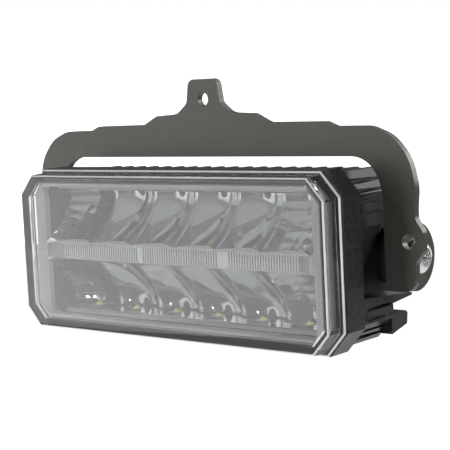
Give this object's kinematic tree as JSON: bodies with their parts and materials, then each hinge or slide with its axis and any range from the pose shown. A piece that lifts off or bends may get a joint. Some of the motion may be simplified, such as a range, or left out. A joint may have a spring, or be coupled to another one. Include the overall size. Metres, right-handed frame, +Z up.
{
  "type": "fog light",
  "caption": "Rectangular fog light with cut corners, clear lens, mirror cells above and below a ribbed light bar, finned housing tilting on a stamped bracket.",
  "frame": {"origin": "on the rear mounting face of the bracket's cross-bar, on the mid-plane", "axes": "+X to the right seen from the front, along the pivot axis; +Y to the rear, out of the mounting face; +Z up"},
  "size_m": [0.199, 0.0593, 0.1016],
  "materials": {
    "bracket_coat": "satin black powder coat",
    "housing_coat": "satin black powder coat on a casting",
    "clear_lens": "clear hard-coated polycarbonate",
    "silicone": "matt",
    "mirror_coat": "vacuum metallised",
    "light_guide": "clear ribbed acrylic",
    "black_nylon": "matt",
    "white_board": "white solder mask",
    "grey_trim": "satin grey",
    "phosphor": "yellow phosphor under clear silicone",
    "green_board": "solder mask",
    "stainless": "bright",
    "insert_brass": "turned"
  },
  "bodies": {
    "bracket": {"bracket_plate": "bracket_coat"},
    "lamp": {"housing": "housing_coat", "lens": "clear_lens", "lens_seal": "silicone", "reflector_upper": "mirror_coat", "reflector_lower": "mirror_coat", "light_bar": "light_guide", "light_bar_carrier": "black_nylon", "light_bar_board": "white_board", "trim_frame": "grey_trim", "led_board_upper": "white_board", "led_board_lower": "white_board", "led_upper_1": "phosphor", "led_upper_2": "phosphor", "led_upper_3": "phosphor", "led_upper_4": "phosphor", "led_upper_5": "phosphor", "led_upper_6": "phosphor", "led_lower_1": "phosphor", "led_lower_2": "phosphor", "led_lower_3": "phosphor", "led_lower_4": "phosphor", "led_lower_5": "phosphor", "led_lower_6": "phosphor", "driver_board": "green_board", "pivot_screw_right": "stainless", "pivot_screw_left": "stainless", "pivot_washer_right": "stainless", "pivot_washer_left": "stainless", "pivot_spacer_right": "black_nylon", "pivot_spacer_left": "black_nylon", "pivot_insert_right": "insert_brass", "pivot_insert_left": "insert_brass", "cable_gland_body": "black_nylon", "cable_gland_nut": "black_nylon", "cable_gland_seal": "silicone", "vent_plug": "black_nylon"}
  },
  "joints": [
    {"name": "lamp_tilt", "type": "hinge", "parent": "bracket", "child": "lamp", "pos_m": [0, 0.0135, -0.0465], "axis": [1, 0, 0], "range_deg": [-10, 20]}
  ]
}
